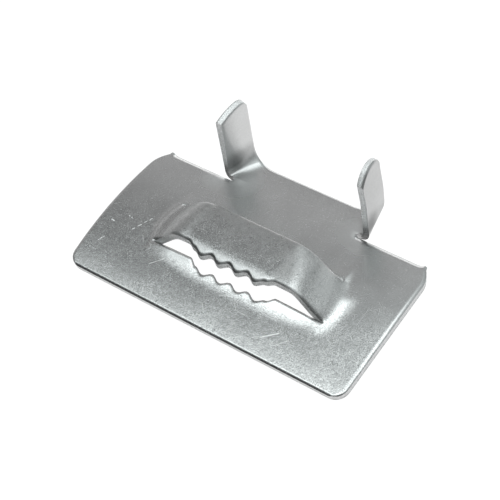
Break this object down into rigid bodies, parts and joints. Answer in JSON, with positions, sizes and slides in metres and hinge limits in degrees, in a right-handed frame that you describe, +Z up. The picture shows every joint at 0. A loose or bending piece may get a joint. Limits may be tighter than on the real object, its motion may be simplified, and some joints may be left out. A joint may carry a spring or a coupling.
{
  "type": "strapping buckle",
  "caption": "Stamped stainless strapping buckle: arched plate with a raised toothed bridge to grip the band and upright ears to hammer down over it.",
  "frame": {"origin": "on the surface the buckle rests on, midway across the plate and below the top of its arch", "axes": "+X across the band, +Y from the plate's front edge to the ears, along the band, +Z up, the way the ears stand"},
  "size_m": [0.041, 0.0258, 0.0115],
  "materials": {
    "stainless": "cold rolled, satin"
  },
  "bodies": {
    "root": {"buckle": "stainless"}
  },
  "joints": []
}
